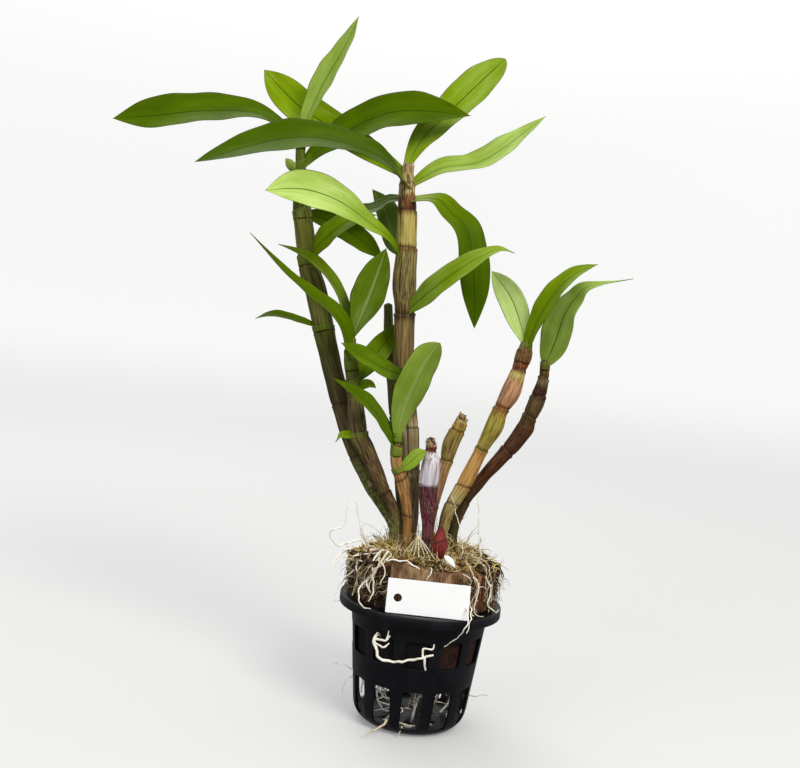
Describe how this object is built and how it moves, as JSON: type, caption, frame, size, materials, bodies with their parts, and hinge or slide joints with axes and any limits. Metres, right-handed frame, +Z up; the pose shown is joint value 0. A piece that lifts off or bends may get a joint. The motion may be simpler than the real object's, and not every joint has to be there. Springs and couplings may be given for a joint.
{
  "type": "potted dendrobium orchid",
  "caption": "Leafy dendrobium orchid with jointed canes, rooted in husk and moss in a round slotted net pot with a blank plant label.",
  "frame": {"origin": "middle of the pot's underside, on the surface that the pot stands on", "axes": "+Z up along the pot's axis, -Y towards the front where the label leans, +X to the right seen from the front"},
  "size_m": [0.3171, 0.1099, 0.427],
  "materials": {
    "black_plastic": "moulded black plastic with a soft sheen",
    "dark_husk": "dark fibrous coconut husk",
    "brown_husk": "brown coconut husk with upright fibres",
    "sphagnum_moss": "dry yellow-green moss strands",
    "pale_root": "pale velvety roots",
    "green_cane": "ribbed green to grey-brown cane",
    "tan_cane": "papery tan sheath with fine stripes",
    "purple_cane": "purple-brown cane with pale bands",
    "brown_cane": "woody brown rhizome",
    "red_bud": "glossy red young shoot",
    "green_leaf": "smooth green leaf with a soft gloss",
    "light_leaf": "light yellow-green leaf with a soft gloss",
    "white_label": "smooth white plastic"
  },
  "bodies": {
    "root": {"bud_shoot": "red_bud", "cane_back": "green_cane", "cane_banded": "purple_cane", "cane_centre": "tan_cane", "cane_right_inner": "purple_cane", "cane_right_outer": "purple_cane", "cane_second_left": "green_cane", "cane_small_front": "tan_cane", "cane_tall_left": "green_cane", "cane_tan": "tan_cane", "husk_plug": "dark_husk", "husk_slab": "brown_husk", "leaf_centre_arching": "green_leaf", "leaf_centre_back_left": "green_leaf", "leaf_centre_hanging": "green_leaf", "leaf_centre_high_left": "green_leaf", "leaf_centre_low_left": "light_leaf", "leaf_centre_lower_right": "green_leaf", "leaf_centre_right": "green_leaf", "leaf_centre_up_left": "green_leaf", "leaf_centre_up_right": "green_leaf", "leaf_centre_wide": "light_leaf", "leaf_inner_left": "green_leaf", "leaf_inner_right": "green_leaf", "leaf_outer": "green_leaf", "leaf_second_bract": "light_leaf", "leaf_second_curl": "light_leaf", "leaf_second_long": "green_leaf", "leaf_second_right": "green_leaf", "leaf_second_upper": "green_leaf", "leaf_second_wide": "green_leaf", "leaf_small_left": "light_leaf", "leaf_small_low": "light_leaf", "leaf_small_right": "light_leaf", "leaf_tall_back": "green_leaf", "leaf_tall_bract": "light_leaf", "leaf_tall_curl": "green_leaf", "leaf_tall_left": "green_leaf", "leaf_tall_middle": "green_leaf", "leaf_tall_right": "green_leaf", "leaf_tall_upright": "green_leaf", "moss_pad": "sphagnum_moss", "net_pot": "black_plastic", "plant_label": "white_label", "rhizome": "brown_cane", "root_pot_front": "pale_root", "roots_air_left": "pale_root", "roots_air_right": "pale_root", "roots_left": "pale_root", "roots_lower": "pale_root", "roots_right": "pale_root"}
  },
  "joints": []
}
